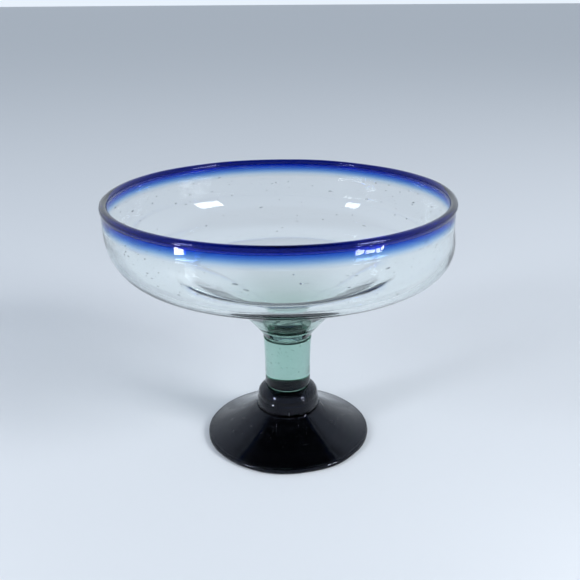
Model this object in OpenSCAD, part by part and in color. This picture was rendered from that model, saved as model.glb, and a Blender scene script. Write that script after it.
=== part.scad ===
// Hand-blown margarita glass, in millimetres.
// The origin is the middle of the foot on the table, and +Z is up.
// Each gather of glass is one revolved profile, and the profiles share the points where they are fused.

/* [Foot] */
// Diameter of the foot across its edge
foot_d = 83.4; // [70:0.2:95]
// Height of the foot up to the knop
foot_h = 16.4; // [12:0.1:22]
// Diameter of the foot where the knop sits on it
foot_neck_d = 33.4; // [33.2:0.2:38]
// Thickness of the foot at its rounded edge
foot_edge_t = 2.8; // [2:0.1:4]
// How far the foot's upper side bows down from a straight cone
foot_bow = 0.8; // [0.3:0.1:2]
// Width of the ring that rests on the table
foot_rest_w = 3.2; // [2:0.1:5]
// Depth of the hollow under the foot
foot_hollow_h = 5.2; // [3:0.1:8]
// Diameter of the pontil scar in the hollow
pontil_d = 15; // [10:0.5:20]
// How far the pontil scar stands down from the hollow
pontil_h = 0.8; // [0.4:0.1:1.5]

/* [Knop] */
// Diameter of the knop where it sits on the foot
knop_base_d = 31.8; // [29:0.2:33]
// Diameter of the knop below its shoulder
knop_d = 30.4; // [28:0.2:33]
// Height of the knop from the foot to its lip
knop_h = 11.4; // [9:0.1:15]
// Height of the knop's rounded shoulder
knop_shoulder_h = 5.8; // [4:0.1:7]
// Width of the knop's lip round the seat of the stem
knop_lip_w = 0.9; // [0.5:0.1:1.5]

/* [Stem] */
// Diameter of the stem at its top
stem_top_d = 24.2; // [20:0.2:27]
// Diameter of the stem just above the knop
stem_low_d = 22.9; // [20:0.2:25]
// Height of the stem from the knop's lip to the bowl
stem_h = 26.9; // [15:0.2:60]
// How far the stem draws in at its waist
stem_waist = 0.25; // [0.1:0.05:0.8]
// Depth of the stem's domed end in the knop
stem_seat_h = 1.6; // [0.8:0.1:2.5]
// Size of the rounding of the stem's lower corner
stem_corner = 1.4; // [0.8:0.1:2]

/* [Well] */
// Height of the well's outside from the stem to the saucer's floor
well_h = 34; // [25:0.1:45]
// Diameter of the dished floor inside the well
well_floor_d = 24; // [18:0.5:28]
// Depth of the dished floor
well_dish_h = 3; // [2:0.1:4]
// Thickness of the glass in the bottom of the well
well_floor_t = 5.8; // [4:0.1:7]
// How far the well's outside bows in from a straight cone
well_bow = 3; // [0.5:0.1:4]
// Size of the rounding round the well's foot, on the stem
well_heel = 1.7; // [1:0.1:2.5]

/* [Saucer] */
// Outer diameter of the saucer's wall
saucer_d = 163.6; // [150:0.5:180]
// Radius of the outer turn between the floor and the wall
turn_r = 17.7; // [12:0.1:24]
// Width of the saucer's floor from the well to the turn's middle
floor_w = 14.1; // [8:0.1:20]
// How far the floor sags below the turn as it runs in to the well
floor_sag = 3.2; // [1:0.1:6]
// Height of the upright wall from the turn to the joint under the bead
wall_h = 13.8; // [9:0.1:20]
// Thickness of the saucer's wall and floor
wall_t = 2.4; // [1.8:0.1:3]

/* [Rim wrap] */
// Thickness of the bead round the lip
bead_d = 3.8; // [3.4:0.1:5]
// How far the bead's middle lies inside the middle of the wall
bead_set_in = 0.1; // [0:0.05:0.3]
// Height of the coloured skirt below the joint under the bead
skirt_h = 4.2; // [2:0.1:8]
// Thickness of the skirt at its lower edge
skirt_edge_t = 0.3; // [0.2:0.05:0.5]
// Thickness of the skirt just under the bead
skirt_top_t = 1.5; // [0.8:0.05:1.7]

/* [Hidden] */
$fn = 180;
// Steps along a gentle bow and along a full turn
bow_steps = 12;
turn_steps = 72;

// Heights of the joints above the table
knop_z = foot_h;
stem_z = knop_z + knop_h;
bowl_z = stem_z + stem_h;
ring_z = bowl_z + well_h;
wall_z = ring_z + floor_sag + turn_r;
lip_z = wall_z + wall_h;

// Foot
foot_r = foot_d / 2;
foot_neck_r = foot_neck_d / 2;
edge_r = foot_edge_t / 2;
hollow_r = foot_r - edge_r - foot_rest_w;
// The hollow is a shallow cap, and its radius follows from its width and depth
hollow_cap_r = (hollow_r * hollow_r + foot_hollow_h * foot_hollow_h) / (2 * foot_hollow_h);

// Knop
knop_r = knop_d / 2;
knop_base_r = knop_base_d / 2;
shoulder_z = stem_z - knop_shoulder_h;
side_bow_share = 0.06;
shoulder_bow_share = 0.24;

// Stem
stem_top_r = stem_top_d / 2;
stem_low_r = stem_low_d / 2;
seat_r = stem_low_r - stem_corner;
seat_z = stem_z - stem_seat_h;
seat_bow_share = 0.25;
corner_bow_share = 0.2;
lip_r = seat_r + knop_lip_w;

// Well: it opens into the saucer where the saucer's floor ends
ring_r = saucer_d / 2 - turn_r - floor_w;
well_floor_z = bowl_z + well_floor_t;
well_floor_r = well_floor_d / 2;
heel_r = stem_top_r - well_heel;
heel_bow_share = 0.2;
// The dished floor leaves the axis level, so its bow follows from its width and depth
well_dish_chord = norm([well_floor_r, well_dish_h]);
well_dish_bow = well_dish_chord / 2 * tan(atan2(well_dish_h, well_floor_r) / 2);

// Saucer: a wide arc leaves the floor level and runs into the tighter turn
saucer_r = saucer_d / 2;
turn_c = [saucer_r - turn_r, wall_z];
sweep_r = turn_r + (floor_w * floor_w + floor_sag * floor_sag) / (2 * floor_sag);
sweep_c = [ring_r, ring_z + sweep_r];
// Angle at which the two arcs meet, below the level
meet_a = atan2(sweep_c[1] - turn_c[1], turn_c[0] - sweep_c[0]);

// Rim wrap
bead_r = bead_d / 2;
bead_c_r = saucer_r - wall_t / 2 - bead_set_in;
bead_in_dx = bead_c_r - (saucer_r - wall_t);
// The bead's middle lies over the lip, where its underside meets the inner wall
bead_step_h = 0.6;
bead_c = [bead_c_r, lip_z + bead_step_h + sqrt(bead_r * bead_r - bead_in_dx * bead_in_dx)];
bead_a_out = -acos((saucer_r - bead_c_r) / bead_r);
bead_a_in = 180 + acos(bead_in_dx / bead_r);
skirt_z = lip_z - skirt_h;

// Points of an arc about a middle, from one angle to another
function arc(mid, r, from, to, steps) = [
    for (i = [0:steps])
        let (a = from + (to - from) * i / steps)
            mid + r * [cos(a), sin(a)]
];

// Steps for an arc, so that all arcs are equally fine
function steps_for(from, to) = max(2, ceil(abs(to - from) * turn_steps / 360));

// Points of a shallow arc from p to q that bows out to the right of the way by the given height
function bow(p, q, height) =
    let (
        way = q - p,
        chord = norm(way),
        side = [way[1], -way[0]] / chord,
        r = (chord * chord / 4 + height * height) / (2 * height),
        mid = (p + q) / 2 + side * (height - r),
        half = asin(chord / 2 / r),
        heading = atan2(side[1], side[0])
    )
    arc(mid, r, heading - half, heading + half, bow_steps);

// The same points in the other order
function back(points) = [for (i = [len(points) - 1:-1:0]) points[i]];

// The foot's hollow, from the resting ring up to the pontil scar
function hollow_points() =
    let (
        mid = [0, foot_hollow_h - hollow_cap_r],
        from = asin(-mid[1] / hollow_cap_r),
        to = acos(pontil_d / 2 / hollow_cap_r)
    )
    arc(mid, hollow_cap_r, from, to, bow_steps);

// The domed end of the stem, which is also the seat in the knop, from the middle out
function seat_points() = bow([0, seat_z], [seat_r, stem_z], seat_bow_share * stem_seat_h);

// The outside of the saucer from the ring to the upright wall, or the inside when set in
function saucer_points(inset) = concat(
    arc(sweep_c, sweep_r - inset, -90, -meet_a, steps_for(-90, -meet_a)),
    arc(turn_c, turn_r - inset, -meet_a, 0, steps_for(-meet_a, 0))
);

// The slanted joint between the clear wall and the coloured skirt, from the bottom up
function scarf_points() = [
    [saucer_r - skirt_edge_t, skirt_z],
    [saucer_r - skirt_top_t, lip_z],
    [saucer_r - wall_t, lip_z]
];

module revolved(points) {
    rotate_extrude()
        polygon(points);
}

// Broad conical foot with a rounded edge, hollowed beneath
module foot() {
    hollow = hollow_points();
    scar_z = hollow[len(hollow) - 1][1] - pontil_h;
    edge_mid = [foot_r - edge_r, edge_r];
    color("midnightblue")
        revolved(concat(
            [[0, scar_z], [pontil_d / 2, scar_z]],
            back(hollow),
            arc(edge_mid, edge_r, -90, 90, steps_for(-90, 90)),
            back(bow([foot_neck_r, knop_z], [foot_r - edge_r, foot_edge_t], foot_bow)),
            [[0, knop_z]]
        ));
}

// Round-shouldered collar fused on the foot, dished on top for the stem
module knop() {
    shoulder = [knop_r, shoulder_z];
    color("navy")
        revolved(concat(
            [[0, knop_z]],
            bow([knop_base_r, knop_z], shoulder, side_bow_share * (shoulder_z - knop_z)),
            bow(shoulder, [lip_r, stem_z], shoulder_bow_share * knop_shoulder_h),
            back(seat_points())
        ));
}

// Solid bar with a domed lower end and a slight waist
module stem() {
    color("darkseagreen", 0.6)
        revolved(concat(
            seat_points(),
            bow([seat_r, stem_z], [stem_low_r, stem_z + stem_corner], corner_bow_share * stem_corner),
            bow([stem_low_r, stem_z + stem_corner], [stem_top_r, bowl_z], -stem_waist),
            [[0, bowl_z]]
        ));
}

// One blown bubble: the thick well below, opening into the wide saucer
module bowl() {
    heel = [heel_r, bowl_z];
    well_low = [stem_top_r, bowl_z + well_heel];
    inner_ring = [ring_r, ring_z + wall_t];
    inner_low = [well_floor_r, well_floor_z + well_dish_h];
    color("lightcyan", 0.4)
        revolved(concat(
            [[0, bowl_z]],
            bow(heel, well_low, heel_bow_share * well_heel),
            bow(well_low, [ring_r, ring_z], -well_bow),
            saucer_points(0),
            [[saucer_r, skirt_z]],
            scarf_points(),
            back(saucer_points(wall_t)),
            back(bow(inner_low, inner_ring, -well_bow)),
            back(bow([0, well_floor_z], inner_low, well_dish_bow))
        ));
}

// Coloured thread melted round the lip: a round bead over a skirt that thins to nothing
module rim_wrap() {
    color("mediumblue", 0.9)
        revolved(concat(
            [[saucer_r, skirt_z]],
            arc(bead_c, bead_r, bead_a_out, bead_a_in, steps_for(bead_a_out, bead_a_in)),
            back(scarf_points())
        ));
}

foot();
knop();
stem();
bowl();
rim_wrap();
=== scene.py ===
# %% [markdown]
# # A hand-blown margarita glass
# The real glass is made hot, one gather after another. A bubble of pale aqua glass is blown and spun
# open into a wide saucer with a thick well below it. A solid bar of the same glass is the stem, and
# two gathers of cobalt glass are the knop and the foot. Last, a thread of cobalt is melted round the lip.
#
# Each of these is one piece here too, and each is a body of revolution. So each piece is made as the
# glassmaker's jack makes it: an outline is drawn, and turned round the axis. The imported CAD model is
# loaded first, because every piece has to stand where its solid stands.

import math
import random

import bmesh
import bpy
from mathutils import Matrix, Vector, noise


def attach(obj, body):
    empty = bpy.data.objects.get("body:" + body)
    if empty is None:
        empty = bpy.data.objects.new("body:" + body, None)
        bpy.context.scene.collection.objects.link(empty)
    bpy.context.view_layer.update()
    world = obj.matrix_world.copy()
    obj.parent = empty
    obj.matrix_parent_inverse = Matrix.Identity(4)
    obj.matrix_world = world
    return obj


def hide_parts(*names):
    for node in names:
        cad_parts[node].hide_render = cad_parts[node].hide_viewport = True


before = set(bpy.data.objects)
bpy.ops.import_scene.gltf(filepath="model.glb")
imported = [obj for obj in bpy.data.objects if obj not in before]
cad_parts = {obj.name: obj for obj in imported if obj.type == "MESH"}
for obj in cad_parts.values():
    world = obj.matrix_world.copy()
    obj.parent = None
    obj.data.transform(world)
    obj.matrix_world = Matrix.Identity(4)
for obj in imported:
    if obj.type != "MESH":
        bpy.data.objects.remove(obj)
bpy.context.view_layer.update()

# %% [markdown]
# ## Sizes
# The sizes repeat those of the part's source, in millimetres, because this script can read only the
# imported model. They are the middles and radii of the arcs that make up the outline of each gather.

# %% Sizes of the gathers, in millimetres
MM = 0.001

FOOT_R, FOOT_H, FOOT_NECK_R, FOOT_EDGE_R = 41.7, 16.4, 16.7, 1.4
FOOT_BOW, FOOT_HOLLOW_R, FOOT_HOLLOW_H = 0.8, 37.1, 5.2
PONTIL_R, PONTIL_H = 7.5, 0.8
KNOP_BASE_R, KNOP_R, KNOP_TOP_Z, KNOP_SHOULDER_H = 15.9, 15.2, 27.8, 5.8
SEAT_R, SEAT_Z, KNOP_LIP_W = 10.05, 26.2, 0.9
STEM_LOW_R, STEM_TOP_R, STEM_CORNER, STEM_WAIST = 11.45, 12.1, 1.4, 0.25
BOWL_Z, WELL_HEEL, WELL_FLOOR_T, WELL_FLOOR_R, WELL_DISH_H = 54.7, 1.7, 5.8, 12.0, 3.0
SAUCER_R, WALL_T, TURN_R, WALL_Z, LIP_Z, SKIRT_Z = 81.8, 2.4, 17.7, 109.6, 123.4, 119.2
RING_R, RING_Z, SWEEP_R = 50.0, 88.7, 50.36
BEAD_R, BEAD_MID = 1.9, (80.5, 125.55)
MEET_A = math.degrees(math.atan2(RING_Z + SWEEP_R - WALL_Z, SAUCER_R - TURN_R - RING_R))
FUSE = 0.15  # how far a gather sinks into the one that it is fused to
print(f"the saucer's two arcs meet {MEET_A:.1f} degrees below the level")

# %% [markdown]
# ## Drawing and turning an outline
# An outline could be typed as a long list of points, but the real curve is a chain of arcs. Spinning
# one vertex about the middle of an arc draws that arc exactly, and shows what the curve is. The whole
# outline is then spun once round the axis, which is what happens to the glass on the blowing iron.

# %% Draw one arc by spinning a vertex
def draw_arc(bm, mid, radius, start, end, steps):
    """An arc of edges in the XZ plane, about mid, between two angles in degrees."""
    a = math.radians(start)
    r, z = mid[0] + radius * math.cos(a), mid[1] + radius * math.sin(a)
    first = bm.verts.new((r * MM, 0, z * MM))
    bmesh.ops.spin(bm, geom=[first], cent=(mid[0] * MM, 0, mid[1] * MM), axis=(0, -1, 0),
                   dvec=(0, 0, 0), angle=math.radians(end - start), steps=steps,
                   use_merge=False, use_duplicate=False)


# %% Draw a shallow bow between two points
def bow(p, q, height, steps=10):
    """The arc from p to q that swells by height to the right of the way, as arguments of draw_arc."""
    way = (q[0] - p[0], q[1] - p[1])
    chord = math.hypot(*way)
    side = (way[1] / chord, -way[0] / chord)
    radius = (chord * chord / 4 + height * height) / (2 * height)
    back = height - radius
    mid = ((p[0] + q[0]) / 2 + side[0] * back, (p[1] + q[1]) / 2 + side[1] * back)
    turn = math.degrees(math.asin(chord / 2 / abs(radius)))
    heading = math.degrees(math.atan2(side[1], side[0]))
    if radius < 0:  # a hollow, whose middle is on the other side
        heading += 180
        turn = -turn
    return mid, abs(radius), heading - turn, heading + turn, steps


# %% Draw a straight run of edges
def draw_line(bm, p, q, steps):
    """A straight run of edges from p to q in the XZ plane."""
    a, b = (bm.verts.new((r * MM, 0, z * MM)) for r, z in (p, q))
    edge = bm.edges.new((a, b))
    if steps > 1:
        bmesh.ops.subdivide_edges(bm, edges=[edge], cuts=steps - 1)


# %% Turn the outline round the axis
WELD = 2e-6  # ends of neighbouring arcs that lie closer than this are one point
TURNS = 288


def turned(outline, turns=TURNS):
    """A closed body from an outline.
    Each run is the five arguments of draw_arc, or ("line", p, q, steps)."""
    bm = bmesh.new()
    for run in outline:
        if run[0] == "line":
            draw_line(bm, *run[1:])
        else:
            draw_arc(bm, *run)
    bmesh.ops.remove_doubles(bm, verts=bm.verts, dist=WELD)
    bmesh.ops.spin(bm, geom=list(bm.verts) + list(bm.edges), cent=(0, 0, 0), axis=(0, 0, 1),
                   dvec=(0, 0, 0), angle=2 * math.pi, steps=turns, use_merge=True, use_duplicate=False)
    bmesh.ops.remove_doubles(bm, verts=bm.verts, dist=WELD)
    bmesh.ops.recalc_face_normals(bm, faces=bm.faces)
    return bm


# %% [markdown]
# ## What the hand does
# A blown glass is never a perfect turning. The lip of this one stands 3.6 mm to one side of its foot,
# the wall swells and thins a little, and nothing is quite round. A modifier could add noise to the
# finished mesh, but moving the vertices here keeps the gathers together, because one rule moves them
# all. The solids are straight, so the lean is only in this scene. It is laid about their axis: the foot
# stands a little to the right of it, and the lip to the left.

# %% The sideways drift of the axis
FOOT_SHIFT = 1.3  # to the right, in millimetres
LOW_LEAN, LOW_FROM, LOW_RISE = 1.0, 80, 12  # the well leans to the left over this rise
HIGH_LEAN, HIGH_FROM, HIGH_RISE = 2.6, 92, 26  # the saucer leans further, and more gently


def drift(z):
    """How far the real axis stands to the right of the straight one at a height, in millimetres."""
    low = min(max((z - LOW_FROM) / LOW_RISE, 0), 1)
    high = min(max((z - HIGH_FROM) / HIGH_RISE, 0), 1)
    return FOOT_SHIFT - LOW_LEAN * low - HIGH_LEAN * high * high * (3 - 2 * high)


# %% The unevenness of hot glass
SWELL_FULL_R = 40  # within this radius the swelling dies away towards the axis
WAVES_ROUND = 2.2  # radius in the noise of the circle that is read once round the glass
WAVE_RISE = 45  # millimetres of height for one step of the noise
INNER_WAVE, INNER_RISE, INNER_PLACE = 26, 20, 7  # the same inside the wall, from another place in it
CALM_BELOW_SKIRT, CALM_RISE = 2, 8  # the inside grows calm before the thin cobalt film begins
RESTING_Z = 5  # below this the foot keeps its height, so that it stands level
RISE_SHARE = 0.5  # how much of the swelling also lifts or lowers the glass
ON_AXIS = 1e-6  # in millimetres; a vertex on the axis can't move out or in


def uneven(bm, amount, inner_amount=0.0, mid_r=None):
    """Moves every vertex by the drift, and out or in by slow waves of the given height in millimetres."""
    for v in bm.verts:
        x, y, z = v.co / MM
        r = math.hypot(x, y)
        if r > ON_AXIS:
            a = math.atan2(y, x)
            share = min(r / SWELL_FULL_R, 1)
            on_circle = Vector((WAVES_ROUND * math.cos(a), WAVES_ROUND * math.sin(a), z / WAVE_RISE))
            swell = amount * share * noise.noise(on_circle)
            if inner_amount and mid_r is not None and r < mid_r(z):
                fade = min(max((SKIRT_Z - CALM_BELOW_SKIRT - z) / CALM_RISE, 0), 1)
                inside = Vector((x / INNER_WAVE, y / INNER_WAVE, z / INNER_RISE + INNER_PLACE))
                swell += fade * inner_amount * share * noise.noise(inside)
            x, y = x * (r + swell) / r, y * (r + swell) / r
            z += RISE_SHARE * swell * share if z > RESTING_Z else 0
        v.co = Vector((x + drift(z), y, z)) * MM


# %% Finish a body: name it, smooth it and put it in the scene
def piece(name, bm, sharp=18):
    """A mesh object at the origin, smooth except across edges sharper than an angle in degrees."""
    mesh = bpy.data.meshes.new(name)
    bm.to_mesh(mesh)
    bm.free()
    mesh.shade_smooth()
    mesh.set_sharp_from_angle(angle=math.radians(sharp))
    made = bpy.data.objects.new(name, mesh)
    bpy.context.scene.collection.objects.link(made)
    triangles = sum(len(p.vertices) - 2 for p in mesh.polygons)
    print(f"{name}: {len(mesh.vertices)} vertices, {triangles} triangles")
    return made


# %% [markdown]
# ## Seeds
# Recycled glass is melted for a short time, so gas stays in it as small bubbles, which glassmakers
# call seeds. They could be dots in the colour, but a seed is a hole, and it shows by bending light.
# So each one is a small ball turned inside out within the glass: its faces point into the hole.
# The spinning draws some of them out along the wall.

# %% Seeds, made apart and then sown into a body
def add_seed(seeds, at, size, along, stretch):
    """One bubble of a radius in millimetres, drawn out along a direction."""
    turn = Vector((0, 0, 1)).rotation_difference(along).to_matrix().to_4x4()
    shape = Matrix.Diagonal((size * MM, size * MM, size * MM * stretch, 1))
    bmesh.ops.create_uvsphere(seeds, u_segments=8, v_segments=6, radius=1,
                              matrix=Matrix.Translation(at * MM) @ turn @ shape)


def sow(bm, seeds):
    """Turns the bubbles inside out and adds them to a body."""
    bmesh.ops.reverse_faces(seeds, faces=seeds.faces)
    holes = bpy.data.meshes.new("seeds")
    seeds.to_mesh(holes)
    seeds.free()
    bm.from_mesh(holes)
    bpy.data.meshes.remove(holes)


# %% [markdown]
# ## The bowl
# One bubble makes the well and the saucer, so one outline makes both. Outside, from the stem: a rounded
# heel, the well that opens like a bell, a wide arc for the floor and a tighter one for the turn, and
# the upright wall. Inside, the same two arcs with radii less the wall's thickness, and a dished well
# floor that leaves nearly 6 mm of glass below it. Under the lip the wall gives way to the cobalt thread
# along a slant, which is why the blue fades downwards: the film of cobalt thins to nothing.

# %% The well and the saucer
inset = SWEEP_R - WALL_T
in_turn = TURN_R - WALL_T
ring_mid, turn_mid = (RING_R, RING_Z + SWEEP_R), (SAUCER_R - TURN_R, WALL_Z)
heel, well_low = (STEM_TOP_R - WELL_HEEL, BOWL_Z), (STEM_TOP_R, BOWL_Z + WELL_HEEL)
floor_z = BOWL_Z + WELL_FLOOR_T
inner_low = (WELL_FLOOR_R, floor_z + WELL_DISH_H)
dish_half = math.hypot(WELL_FLOOR_R, WELL_DISH_H) / 2
dish_bow = dish_half * math.tan(math.atan2(WELL_DISH_H, WELL_FLOOR_R) / 2)
HEEL_BOW = 0.5
WELL_HOLLOW, WELL_HOLLOW_IN = 2.36, 2.59  # how far the well bows inwards, outside and inside

# %% The rounded edge between the well and the saucer's floor
RING_W, RING_DROP, RING_HOLLOW = 3.1, 1.28, 0.275  # half its width, its fall and its hollow
ring_out_a = math.degrees(math.asin(RING_W / inset)) - 90
ring_in = (RING_R - RING_W, RING_Z + WALL_T - RING_DROP)
ring_out = (RING_R + RING_W, ring_mid[1] + inset * math.sin(math.radians(ring_out_a)))
UNDER_W, UNDER_Z, UNDER_HOLLOW = 5.0, 86.01, 0.55  # the same underneath, where the edge is softer
under_a = math.degrees(math.asin(UNDER_W / SWEEP_R)) - 90
under_in = (RING_R - UNDER_W, UNDER_Z)
under_out = (RING_R + UNDER_W, ring_mid[1] + SWEEP_R * math.sin(math.radians(under_a)))

# %% The slant under the cobalt
FILM_END = SKIRT_Z - 1.2  # the film fades out a little below its solid, which can't be that thin
FILM_T = WALL_T - 0.15  # thickness of the cobalt just under the bead, almost the whole wall
SCARF = (SAUCER_R, FILM_END), (SAUCER_R - FILM_T, LIP_Z)  # the slanted face between the two glasses
SCARF_BOW = 0.6
LIP_STEP = 0.1  # the clear wall ends this far above the slant
print(f"the film of cobalt is {LIP_Z - FILM_END:.1f} mm high")

# %% The outline of the bowl
bowl_outline = [
    ("line", (0, BOWL_Z - FUSE), (heel[0], BOWL_Z - FUSE), 6),
    ("line", (heel[0], BOWL_Z - FUSE), heel, 1),
    bow(heel, well_low, HEEL_BOW, 8),
    bow(well_low, under_in, -WELL_HOLLOW, 38),
    bow(under_in, under_out, -UNDER_HOLLOW, 16),
    (ring_mid, SWEEP_R, under_a, -MEET_A, 16),
    (turn_mid, TURN_R, -MEET_A, 0, 28),
    ("line", (SAUCER_R, WALL_Z), (SAUCER_R, FILM_END), 8),
    bow(*SCARF, SCARF_BOW, 18),
    ("line", SCARF[1], (SAUCER_R - WALL_T, LIP_Z + LIP_STEP), 1),
    ("line", (SAUCER_R - WALL_T, LIP_Z + LIP_STEP), (SAUCER_R - WALL_T, WALL_Z), 10),
    (turn_mid, in_turn, 0, -MEET_A, 26),
    (ring_mid, inset, -MEET_A, ring_out_a, 16),
    bow(ring_in, ring_out, -RING_HOLLOW, 14),
    bow(inner_low, ring_in, -WELL_HOLLOW_IN, 38),
    bow((0, floor_z), inner_low, dish_bow, 14),
]
print(len(bowl_outline), "runs in the outline of the bowl")


# %% Where the middle of the bowl's wall is at a height
TURN_ENDS, WELL_ENDS = 3, 2  # heights above the ring, in millimetres
WELL_MID_R, WELL_MID_WIDENS, WELL_MID_POWER = 12, 36, 1.2


def wall_middle(z):
    """Radius of the middle of the wall at a height in millimetres, from the well to the lip."""
    if z >= WALL_Z:
        return SAUCER_R - WALL_T / 2
    if z > RING_Z + TURN_ENDS:
        depth = min((WALL_Z - z) / (TURN_R - WALL_T / 2), 1)
        return SAUCER_R - TURN_R + (TURN_R - WALL_T / 2) * math.sqrt(1 - depth * depth)
    if z > floor_z:
        share = (z - floor_z) / (RING_Z + WELL_ENDS - floor_z)
        return WELL_MID_R + WELL_MID_WIDENS * share**WELL_MID_POWER
    return 0


# %% Turn the bowl and unsettle it
BLOWN_SWELL, INNER_SWELL, PRESSED_SWELL = 0.35, 0.22, 0.5  # in millimetres
bowl_mesh = turned(bowl_outline)
uneven(bowl_mesh, BLOWN_SWELL, INNER_SWELL, wall_middle)

# %% Sow the bowl's seeds
random.seed(11)
BOWL_SEEDS, IN_WALL, IN_WALL_OR_TURN = 420, 0.6, 0.85  # how many, and the shares that lie above
SEED_RADII, SEED_STRETCHES = (0.08, 0.1, 0.12, 0.15, 0.2, 0.3), (1, 1, 1.5, 2.5, 4)
OFF_MIDDLE, WALL_SEEDS_FROM, FLOOR_FROM_A = 0.4, WALL_Z - 2, -88  # millimetres and degrees
SPIN_FALL, SPIN_RISE = -0.25, 0.1  # how far the spinning tilts a drawn-out seed
mid_turn, mid_sweep = TURN_R - WALL_T / 2, SWEEP_R - WALL_T / 2
seeds = bmesh.new()
for _ in range(BOWL_SEEDS):
    a = random.uniform(0, 2 * math.pi)
    size = random.choice(SEED_RADII)
    where = random.random()
    if where < IN_WALL:
        r = SAUCER_R - WALL_T / 2 + random.uniform(-OFF_MIDDLE, OFF_MIDDLE)
        z = random.uniform(WALL_SEEDS_FROM, SKIRT_Z)
    elif where < IN_WALL_OR_TURN:
        t = math.radians(random.uniform(-MEET_A, 0))
        r, z = turn_mid[0] + mid_turn * math.cos(t), turn_mid[1] + mid_turn * math.sin(t)
    else:  # in the saucer's floor
        t = math.radians(random.uniform(FLOOR_FROM_A, -MEET_A))
        r, z = ring_mid[0] + mid_sweep * math.cos(t), ring_mid[1] + mid_sweep * math.sin(t)
    along = Vector((-math.sin(a), math.cos(a), random.uniform(SPIN_FALL, SPIN_RISE))).normalized()
    at = Vector((r * math.cos(a) + drift(z), r * math.sin(a), z))
    add_seed(seeds, at, size, along, random.choice(SEED_STRETCHES))
sow(bowl_mesh, seeds)
bowl = piece("bowl_blown", bowl_mesh)

# %% [markdown]
# ## The cobalt lip
# A hot thread of cobalt glass is trailed round the edge and melted in. It draws up into a round bead,
# and its lower side smears into a film that ends in nothing. The bead could be a plain torus, but the
# film is what makes the blue fade, so both are one outline: the bead, and a wedge under it.

# %% Where the bead meets the wall, and how the film lies
INNER_STEP = 0.02  # the bead stands in from the clear wall by this, so the two surfaces don't meet
FILM_PROUD = 0.012  # the film stands this far out from the clear wall, for the same reason
FILM_TIP, FILM_STEP = 0.25, 0.3  # heights of the film's blunt lower tip and of the step at its top
LAP = 0.04  # the cobalt laps this far over the slanted face, so that no air is left between the two
bead_low = BEAD_MID[1] - math.sqrt(BEAD_R**2 - (SAUCER_R - BEAD_MID[0]) ** 2)
bead_a_out = math.degrees(math.atan2(bead_low - BEAD_MID[1], SAUCER_R - BEAD_MID[0]))
inner_r = SAUCER_R - WALL_T - INNER_STEP
bead_in = BEAD_MID[1] - math.sqrt(BEAD_R**2 - (inner_r - BEAD_MID[0]) ** 2)
bead_a_in = 360 + math.degrees(math.atan2(bead_in - BEAD_MID[1], inner_r - BEAD_MID[0]))
film_low = (SCARF[0][0] - LAP, SCARF[0][1] - LAP)
film_top = (SCARF[1][0] - LAP, SCARF[1][1] - LAP)
film_tip = (SAUCER_R + FILM_PROUD, FILM_END + FILM_TIP)
print(f"the bead leaves the outer wall at {bead_low:.2f} mm and the inner one at {bead_in:.2f} mm")

# %% Turn the bead and the film under it
rim_outline = [
    ("line", film_low, film_tip, 2),
    ("line", film_tip, (SAUCER_R, bead_low), 8),
    (BEAD_MID, BEAD_R, bead_a_out, bead_a_in, 44),
    ("line", (inner_r, bead_in), (inner_r, LIP_Z - FILM_STEP), 2),
    ("line", (inner_r, LIP_Z - FILM_STEP), film_top, 1),
    bow(film_top, film_low, -SCARF_BOW, 18),
]
rim_mesh = turned(rim_outline)
uneven(rim_mesh, BLOWN_SWELL)
rim = piece("rim_thread", rim_mesh)

# %% [markdown]
# ## The stem
# A solid bar, drawn in a little at the waist. Both ends are rounded where they were pressed hot onto
# their neighbours, and those rounded corners catch the light as two bright crescents.

# %% Turn the stem
SEAT_BOW, CORNER_BOW = 0.4, 0.28
TOP_CORNER_W, TOP_CORNER_H, TOP_CORNER_BOW = 0.4, 0.3, 0.08
stem_low = (STEM_LOW_R, KNOP_TOP_Z + STEM_CORNER)
stem_high = (STEM_TOP_R, BOWL_Z - TOP_CORNER_H)
stem_edge = (STEM_TOP_R - TOP_CORNER_W, BOWL_Z)
stem_outline = [
    bow((0, SEAT_Z - FUSE), (SEAT_R, KNOP_TOP_Z - FUSE), SEAT_BOW, 12),
    ("line", (SEAT_R, KNOP_TOP_Z - FUSE), (SEAT_R, KNOP_TOP_Z), 1),
    bow((SEAT_R, KNOP_TOP_Z), stem_low, CORNER_BOW, 8),
    bow(stem_low, stem_high, -STEM_WAIST, 30),
    bow(stem_high, stem_edge, TOP_CORNER_BOW, 5),
    ("line", stem_edge, (0, BOWL_Z), 6),
]
stem_mesh = turned(stem_outline, 160)
uneven(stem_mesh, PRESSED_SWELL)

# %% Sow the stem's seeds
STEM_SEEDS, SEEDS_WITHIN_R, SEEDS_FROM_END = 46, 10.6, 2
STEM_RADII, STEM_STRETCHES = (0.1, 0.12, 0.16, 0.22), (1, 1.4, 2)
STEM_PULL = Vector((0.1, 0.1, 1)).normalized()  # the way in which the bar was drawn
seeds = bmesh.new()
for _ in range(STEM_SEEDS):
    a, r = random.uniform(0, 2 * math.pi), SEEDS_WITHIN_R * math.sqrt(random.random())
    z = random.uniform(KNOP_TOP_Z + SEEDS_FROM_END, BOWL_Z - SEEDS_FROM_END)
    at = Vector((r * math.cos(a), r * math.sin(a), z))
    add_seed(seeds, at, random.choice(STEM_RADII), STEM_PULL, random.choice(STEM_STRETCHES))
sow(stem_mesh, seeds)
stem = piece("stem_bar", stem_mesh)

# %% [markdown]
# ## The knop and the foot
# Two gathers of cobalt glass. The foot is a thick cone, hollowed beneath so that it rests on a ring,
# with the rough scar of the pontil rod in the middle. The knop was dropped on it and squeezed round,
# which leaves a fold between the two.

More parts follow.
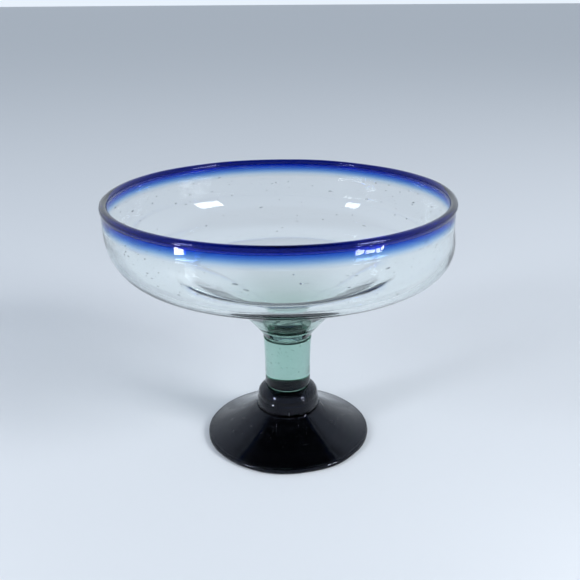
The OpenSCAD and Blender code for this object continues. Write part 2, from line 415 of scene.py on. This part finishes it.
# %% Turn the knop
FOLD_W, FOLD_H, FOLD_BOW = 0.8, 0.7, 0.2  # the rounded edge that makes the fold on the foot
KNOP_SIDE_BOW, SHOULDER_BOW = 0.25, 1.35
fold_in = (KNOP_BASE_R - FOLD_W, FOOT_H - FUSE)
fold_out = (KNOP_BASE_R, FOOT_H + FOLD_H)
shoulder = (KNOP_R, KNOP_TOP_Z - KNOP_SHOULDER_H)
lip = (SEAT_R + KNOP_LIP_W, KNOP_TOP_Z)
knop_outline = [
    ("line", (0, FOOT_H - FUSE), fold_in, 4),
    bow(fold_in, fold_out, FOLD_BOW, 5),
    bow(fold_out, shoulder, KNOP_SIDE_BOW, 12),
    bow(shoulder, lip, SHOULDER_BOW, 20),
    ("line", lip, (SEAT_R, KNOP_TOP_Z), 2),
    bow((0, SEAT_Z), (SEAT_R, KNOP_TOP_Z), SEAT_BOW, 12),
]
knop_mesh = turned(knop_outline, 200)
uneven(knop_mesh, PRESSED_SWELL)
knop = piece("knop_collar", knop_mesh)

# %% [markdown]
# Where clear glass is fused to dark, there is no surface left between them to mirror anything: the eye
# looks down the stem straight into black. Two glass meshes that touch would still mirror at the joint,
# so a thin dull skin lies just inside the stem's domed end, and stands for the face of the cobalt. It
# lies a little to the back, so that the front corner of the stem keeps its bright crescent.

# %% The fused face between the knop and the stem
SKIN_T, SKIN_IN, SKIN_STEP, SKIN_BOW, SKIN_BACK = 0.15, 1.4, 0.1, 0.3, 1.3
skin_under = (SEAT_R - SKIN_IN, KNOP_TOP_Z - 2 * SKIN_T)
skin_over = (SEAT_R - SKIN_IN - SKIN_STEP, KNOP_TOP_Z - SKIN_T)
skin_outline = [
    bow((0, SEAT_Z + SKIN_T), skin_under, SKIN_BOW, 10),
    ("line", skin_under, skin_over, 1),
    bow((0, SEAT_Z + 2 * SKIN_T), skin_over, SKIN_BOW, 10),
]
skin_mesh = turned(skin_outline, 120)
bmesh.ops.translate(skin_mesh, verts=skin_mesh.verts, vec=(0, SKIN_BACK * MM, 0))
uneven(skin_mesh, PRESSED_SWELL)
skin = piece("knop_fused_face", skin_mesh)

# %% The foot's hollow, edge and neck
cap_r = (FOOT_HOLLOW_R**2 + FOOT_HOLLOW_H**2) / (2 * FOOT_HOLLOW_H)
cap_mid = (0, FOOT_HOLLOW_H - cap_r)
cap_from = math.degrees(math.asin(-cap_mid[1] / cap_r))
cap_to = math.degrees(math.acos(PONTIL_R / cap_r))
scar_z = cap_mid[1] + cap_r * math.sin(math.radians(cap_to))
edge_mid = (FOOT_R - FOOT_EDGE_R, FOOT_EDGE_R)
edge_top = (edge_mid[0], 2 * FOOT_EDGE_R)
SCAR_EDGE_W, SCAR_EDGE_BOW = 0.6, 0.2
NECK_EDGE_W, NECK_EDGE_H, NECK_EDGE_BOW = 0.6, 0.5, 0.12
scar_in = (PONTIL_R - SCAR_EDGE_W, scar_z - PONTIL_H)
neck_low, neck_top = (FOOT_NECK_R, FOOT_H - NECK_EDGE_H), (FOOT_NECK_R - NECK_EDGE_W, FOOT_H)
print(f"the hollow is the cap of a ball of {cap_r:.0f} mm radius")

# %% Turn the foot
foot_outline = [
    ("line", (0, scar_z - PONTIL_H), scar_in, 8),
    bow(scar_in, (PONTIL_R, scar_z), SCAR_EDGE_BOW, 4),
    (cap_mid, cap_r, cap_from, cap_to, 24),
    ("line", (FOOT_HOLLOW_R, 0), (edge_mid[0], 0), 4),
    (edge_mid, FOOT_EDGE_R, -90, 90, 20),
    bow(edge_top, neck_low, -FOOT_BOW, 30),
    bow(neck_low, neck_top, NECK_EDGE_BOW, 5),
    ("line", neck_top, (0, FOOT_H), 6),
]
foot_mesh = turned(foot_outline)
uneven(foot_mesh, PRESSED_SWELL)
foot = piece("foot_cone", foot_mesh)

# %% [markdown]
# ## Glass
# Two glasses are used. The pale one is melted from old bottles, whose iron makes it aqua: a thin wall
# looks clear, and the thick well and stem look green-blue. A surface colour can't do that, so the
# colour is in the volume, as an absorption for each millimetre of the way through. The other glass
# takes its colour from cobalt, which lets only blue through, and in a thick lump almost nothing.

# %% Colours and nodes
def linear(hex_colour):
    """A colour written as sRGB hex, in the linear values that the shaders work in."""
    parts = [int(hex_colour[i:i + 2], 16) / 255 for i in (1, 3, 5)]
    return tuple(c / 12.92 if c <= 0.04045 else ((c + 0.055) / 1.055) ** 2.4 for c in parts) + (1,)


def add_node(tree, kind, links=(), **settings):
    """Adds a node with its settings, and joins its inputs to outputs.
    A setting named in_X sets the input X."""
    node = tree.nodes.new(kind)
    for key, value in settings.items():
        if key.startswith("in_"):
            node.inputs[key[3:].replace("_", " ")].default_value = value
        else:
            setattr(node, key, value)
    for socket, source in links:
        tree.links.new(source, node.inputs[socket])
    return node


# %% [markdown]
# A foot is pushed over tables for years, so the cobalt carries fine scratches. They could be cut into
# the mesh, but they are far thinner than its faces. A scratch is a line of dull glass, so a noise is
# drawn out long and thin, and only its highest peaks make the surface rough.

# %% Fine scratches
SCRATCH_LONG, SCRATCH_WIDE = 7, 0.35  # in millimetres; real ones are thinner, and wouldn't show
SCRATCH_WAYS = (24, -58, 80)  # degrees, seen from above
SCRATCH_FROM, SCRATCH_FULL, SCRATCH_DULL = 0.835, 0.895, 0.3  # the noise's peaks, and their roughness


def add_scratches(tree, place, roughness):
    """Lines of dull glass in a few directions, added to a roughness."""
    for way in SCRATCH_WAYS:
        lay = add_node(tree, "ShaderNodeMapping", [("Vector", place)], vector_type="TEXTURE")
        lay.inputs["Rotation"].default_value = (0, 0, math.radians(way))
        lay.inputs["Scale"].default_value = (SCRATCH_LONG * MM, SCRATCH_WIDE * MM, SCRATCH_LONG * MM)
        hairs = add_node(tree, "ShaderNodeTexNoise", [("Vector", lay.outputs["Vector"])],
                         in_Scale=1.0, in_Detail=0.0)
        peaks = add_node(tree, "ShaderNodeMapRange", [("Value", hairs.outputs["Fac"])],
                         in_From_Min=SCRATCH_FROM, in_From_Max=SCRATCH_FULL, in_To_Max=SCRATCH_DULL)
        deeper = add_node(tree, "ShaderNodeMath", operation="MAXIMUM")
        tree.links.new(roughness, deeper.inputs[0])
        tree.links.new(peaks.outputs["Result"], deeper.inputs[1])
        roughness = deeper.outputs["Value"]
    return roughness


# %% The waves in the surface of hot glass
STRIAE_FINER, STRIAE_WIDER = 6, 1.6  # finer in height than round the glass, and wider than the waves
STRIAE_SHARE = 0.35


def hot_waves(tree, place, wave_mm, wave_height):
    """Slow waves as a value, and a bump of them with level striae mixed in."""
    waves = add_node(tree, "ShaderNodeTexNoise", [("Vector", place)],
                     in_Scale=1 / (wave_mm * MM), in_Detail=3.0, in_Roughness=0.45)
    drawn = add_node(tree, "ShaderNodeMapping", [("Vector", place)], in_Scale=(1, 1, STRIAE_FINER))
    striae = add_node(tree, "ShaderNodeTexNoise", [("Vector", drawn.outputs["Vector"])],
                      in_Scale=1 / (wave_mm * STRIAE_WIDER * MM), in_Detail=2.0, in_Roughness=0.5)
    height = add_node(tree, "ShaderNodeMix", data_type="FLOAT")
    height.inputs[0].default_value = STRIAE_SHARE
    tree.links.new(waves.outputs["Fac"], height.inputs[2])
    tree.links.new(striae.outputs["Fac"], height.inputs[3])
    bump = add_node(tree, "ShaderNodeBump", [("Height", height.outputs[0])],
                    in_Strength=1.0, in_Distance=wave_height * MM)
    return waves.outputs["Fac"], bump.outputs["Normal"]


# %% The colour in the depth of the glass
LEAST_LIGHT = 1e-4  # a colour that lets nothing through would need an absorption without end


def depth_colour(tree, lets_through, depth_mm):
    """Absorption that leaves a colour of white light after depth_mm of glass."""
    taken = [-math.log(max(c, LEAST_LIGHT)) / (depth_mm * MM) for c in linear(lets_through)[:3]]
    most = max(taken)
    volume = add_node(tree, "ShaderNodeVolumeAbsorption", in_Density=most)
    volume.inputs["Color"].default_value = tuple(1 - t / most for t in taken) + (1,)
    return volume


# %% A tint on the surface where the gather is thick
def thick_tint(tree, place, from_z, to_z, colour):
    """White that turns to a colour between two heights in millimetres, upwards or downwards."""
    up = add_node(tree, "ShaderNodeSeparateXYZ", [("Vector", place)])
    share = add_node(tree, "ShaderNodeMapRange", [("Value", up.outputs["Z"])],
                     in_From_Min=from_z * MM, in_From_Max=to_z * MM)
    deepen = add_node(tree, "ShaderNodeMix", [("Factor", share.outputs["Result"])], data_type="RGBA")
    deepen.inputs[6].default_value = linear("#ffffff")
    deepen.inputs[7].default_value = linear(colour)
    return deepen.outputs[2]


# %% Hot-worked glass
GLASS_IOR = 1.52
SMEAR_FROM, SMEAR_FULL = 0.5, 0.75  # between these heights of the waves the faint smear comes in


def hot_glass(name, lets_through, depth_mm, wave_mm, wave_height, smear, mirror, thick=None, worn=False):
    """Fire-polished glass that lets a colour through, per depth_mm, with slow waves and a faint smear.
    mirror tints what it reflects, and thick = (from_z, to_z, colour) its surface, by height."""
    material = bpy.data.materials.new(name)
    material.use_nodes = True
    tree = material.node_tree
    tree.nodes.clear()
    place = add_node(tree, "ShaderNodeTexCoord").outputs["Object"]
    waves, normal = hot_waves(tree, place, wave_mm, wave_height)
    rough = add_node(tree, "ShaderNodeMapRange", [("Value", waves)],
                     in_From_Min=SMEAR_FROM, in_From_Max=SMEAR_FULL, in_To_Min=0.0, in_To_Max=smear)
    roughness = rough.outputs["Result"]
    if worn:
        roughness = add_scratches(tree, place, roughness)
    surface = add_node(tree, "ShaderNodeBsdfPrincipled", [("Normal", normal), ("Roughness", roughness)],
                       in_IOR=GLASS_IOR, in_Base_Color=linear("#ffffff"),
                       in_Specular_Tint=linear(mirror), in_Transmission_Weight=1.0)
    if thick:
        tree.links.new(thick_tint(tree, place, *thick), surface.inputs["Base Color"])
    volume = depth_colour(tree, lets_through, depth_mm)
    out = add_node(tree, "ShaderNodeOutputMaterial",
                   [("Surface", surface.outputs["BSDF"]), ("Volume", volume.outputs["Volume"])])
    out.target = "ALL"
    print(f"{name}: takes up to {volume.inputs['Density'].default_value:.0f} per metre")
    return material


# %% The pale glass and the cobalt glass
aqua_bottle_glass = hot_glass("aqua_bottle_glass_drawn_bar", "#add3c6", 23, 7, 0.02, 0.01, "#b4b8bc")
clear_bottle_glass = hot_glass("aqua_bottle_glass_blown_thin", "#dcf0ec", 23, 9, 0.03, 0.01, "#b8bcc0",
                               (RING_Z - 8, BOWL_Z + 6, "#c6d8ce"))
cobalt_lump_glass = hot_glass("cobalt_glass_pressed_lump", "#0c1450", 2.2, 8, 0.09, 0.006, "#a8acc0",
                              worn=True)
cobalt_thread_glass = hot_glass("cobalt_glass_melted_thread", "#1c52d0", 2.4, 9, 0.02, 0.01, "#9499b0",
                                (LIP_Z + 0.2, LIP_Z + 1.8, "#808aa2"))

# %% The dull face of cobalt glass inside clear glass
CLOUD_MM = 5


def fused_cobalt(name, shade, deeper):
    """Cobalt glass seen from inside the glass fused to it: no gloss, and slightly cloudy."""
    material = bpy.data.materials.new(name)
    material.use_nodes = True
    tree = material.node_tree
    tree.nodes.clear()
    place = add_node(tree, "ShaderNodeTexCoord").outputs["Object"]
    clouds = add_node(tree, "ShaderNodeTexNoise", [("Vector", place)],
                      in_Scale=1 / (CLOUD_MM * MM), in_Detail=3.0)
    shades = add_node(tree, "ShaderNodeMix", [("Factor", clouds.outputs["Fac"])], data_type="RGBA")
    shades.inputs[6].default_value = linear(shade)
    shades.inputs[7].default_value = linear(deeper)
    surface = add_node(tree, "ShaderNodeBsdfPrincipled", [("Base Color", shades.outputs[2])],
                       in_Roughness=1.0, in_Specular_IOR_Level=0.0)
    add_node(tree, "ShaderNodeOutputMaterial", [("Surface", surface.outputs["BSDF"])])
    return material


fused_face = fused_cobalt("cobalt_glass_fused_face", "#0c0e1c", "#06070d")
skin.data.materials.append(fused_face)
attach(skin, "root")

# %% Give each piece its glass, its body and its CAD node
for made, material, node, slot in (
    (bowl, clear_bottle_glass, "bowl", "clear_glass"),
    (rim, cobalt_thread_glass, "rim_wrap", "cobalt_lip_glass"),
    (stem, aqua_bottle_glass, "stem", "aqua_glass"),
    (knop, cobalt_lump_glass, "knop", "cobalt_glass"),
    (foot, cobalt_lump_glass, "foot", "cobalt_glass"),
):
    made.data.materials.append(material)
    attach(made, "root")
    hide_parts(node)
    print(made.name, "stands for", node)

# %% [markdown]
# ## Floor, light and camera
# Clear glass shows only what it bends and mirrors. A floor that is one pale tone keeps it clear. Rows of
# soft lights at both sides leave the dark ceiling to draw its edges and to keep the cobalt dark, and
# small panes of light close to the glass mirror in it as windows do.

# %% A plain pale floor
FLOOR_R, FLOOR_SIDES = 40.0, 96  # in metres, so wide that it runs to the skyline
FLOOR_DROP = 0.03  # in millimetres, so that it doesn't touch the foot
floor_mesh = bmesh.new()
bmesh.ops.create_circle(floor_mesh, cap_ends=True, segments=FLOOR_SIDES, radius=FLOOR_R,
                        matrix=Matrix.Translation((0, 0, -FLOOR_DROP * MM)))
floor = piece("floor", floor_mesh)
floor_paint = bpy.data.materials.new("matt_pale_board")
floor_paint.use_nodes = True
board = floor_paint.node_tree.nodes["Principled BSDF"]
board.inputs["Base Color"].default_value = linear("#dee1e4")
board.inputs["Roughness"].default_value = 0.9
board.inputs["Specular IOR Level"].default_value = 0.2
floor.data.materials.append(floor_paint)


# %% How a light is made
def soft_light(name, at, towards, width, height, power, colour="#ffffff"):
    """An area light in metres and watts, facing a point."""
    light = bpy.data.lights.new(name, "AREA")
    light.shape = "RECTANGLE"
    light.size, light.size_y = width, height
    light.energy = power
    light.color = linear(colour)[:3]
    lamp = bpy.data.objects.new(name, light)
    lamp.location = at
    lamp.rotation_euler = (Vector(towards) - Vector(at)).to_track_quat("-Z", "Y").to_euler()
    bpy.context.scene.collection.objects.link(lamp)


# %% Rows of soft lights at both sides, in metres and watts
ROWS, ROW_RISE, ROW_H, AT_GLASS = 4, 0.17, 0.14, (0, 0, 0.08)
RIGHT_X, RIGHT_Y, RIGHT_Z, RIGHT_W, RIGHT_POWER = 1.3, -0.75, 0.62, 0.23, 2.4
RIGHT_ACROSS, RIGHT_APART = Vector((0.5, 0.87, 0)), 0.13  # the way along a row, and the step on it
LEFT_X, LEFT_Y, LEFT_Z, LEFT_W, LEFT_POWER = -1.3, -0.85, 0.52, 0.3, 2.6
for row in range(ROWS):
    for column in (-1, 1):
        at = Vector((RIGHT_X, RIGHT_Y, RIGHT_Z + row * ROW_RISE)) + RIGHT_ACROSS * column * RIGHT_APART
        soft_light(f"soft_right_{column + 1}_{row}", at, AT_GLASS, RIGHT_W, ROW_H, RIGHT_POWER, "#fbfcff")
    at = (LEFT_X, LEFT_Y, LEFT_Z + row * ROW_RISE)
    soft_light(f"soft_left_{row}", at, AT_GLASS, LEFT_W, ROW_H, LEFT_POWER, "#f3f7ff")

# %% Small panes near the glass, in metres and watts
PANE_X, PANE_Y, PANE_Z, PANE_RISE = 0.172, -0.162, 0.0705, 0.0032
PANE_ACROSS, PANE_APART = Vector((0.62, 0.78, 0)), 0.024
PANE_W, PANE_H, PANE_POWER = 0.02, 0.0022, 0.006
for column in (-1, 0, 1):
    for row in (0, 1):
        at = Vector((PANE_X, PANE_Y, PANE_Z + row * PANE_RISE)) + PANE_ACROSS * column * PANE_APART
        soft_light(f"pane_right_{column + 1}_{row}", at, (0, 0, 0.09), PANE_W, PANE_H, PANE_POWER)
soft_light("pane_left", at=(-0.3, -0.21, 0.045), towards=(0, 0, 0.06), width=0.04, height=0.03, power=0.2)

# %% The room around: pale at the level, dark overhead
ROOM_TONES = ((0.0, "#c9d1da"), (0.66, "#c0cad6"), (0.93, "#2c2f36"))  # from the level to overhead
ROOM_STRENGTH = 1.4
world = bpy.data.worlds.new("soft_room")
bpy.context.scene.world = world
world.use_nodes = True
room = world.node_tree
room.nodes.clear()
direction = add_node(room, "ShaderNodeTexCoord").outputs["Generated"]
height = add_node(room, "ShaderNodeSeparateXYZ", [("Vector", direction)])
ramp = add_node(room, "ShaderNodeValToRGB", [("Fac", height.outputs["Z"])])
ramp.color_ramp.interpolation = "EASE"
ramp.color_ramp.elements.new(ROOM_TONES[1][0])
for stop, (rise, tone) in zip(ramp.color_ramp.elements, ROOM_TONES):
    stop.position = rise
    stop.color = linear(tone)
glow = add_node(room, "ShaderNodeBackground", [("Color", ramp.outputs["Color"])], in_Strength=ROOM_STRENGTH)
add_node(room, "ShaderNodeOutputWorld", [("Surface", glow.outputs["Background"])])

# %% The camera at the photograph's viewing angle
CAMERA_AT = Vector((FOOT_SHIFT * MM, -0.34404, 0.21169))
PITCH, YAW, ROLL = math.radians(21.12), math.radians(0.24), math.radians(-0.37)
SENSOR_MM, FOCAL_PX, PHOTO_PX = 36, 750, 580  # the focal length was fitted in the photograph's pixels
ahead = Vector((math.sin(YAW) * math.cos(PITCH), math.cos(YAW) * math.cos(PITCH), -math.sin(PITCH)))
level = Vector((math.cos(YAW), -math.sin(YAW), 0))
upward = level.cross(ahead)
right = level * math.cos(ROLL) + upward * math.sin(ROLL)
top = upward * math.cos(ROLL) - level * math.sin(ROLL)
lens = bpy.data.cameras.new("camera")
lens.sensor_fit = "HORIZONTAL"
lens.sensor_width = SENSOR_MM
lens.lens = SENSOR_MM * FOCAL_PX / PHOTO_PX
camera = bpy.data.objects.new("camera", lens)
turn = Matrix((right, top, -ahead)).transposed().to_4x4()
camera.matrix_world = Matrix.Translation(CAMERA_AT) @ turn
bpy.context.scene.collection.objects.link(camera)
bpy.context.scene.camera = camera
bpy.context.scene.view_settings.view_transform = "Standard"
print("camera at", tuple(CAMERA_AT))
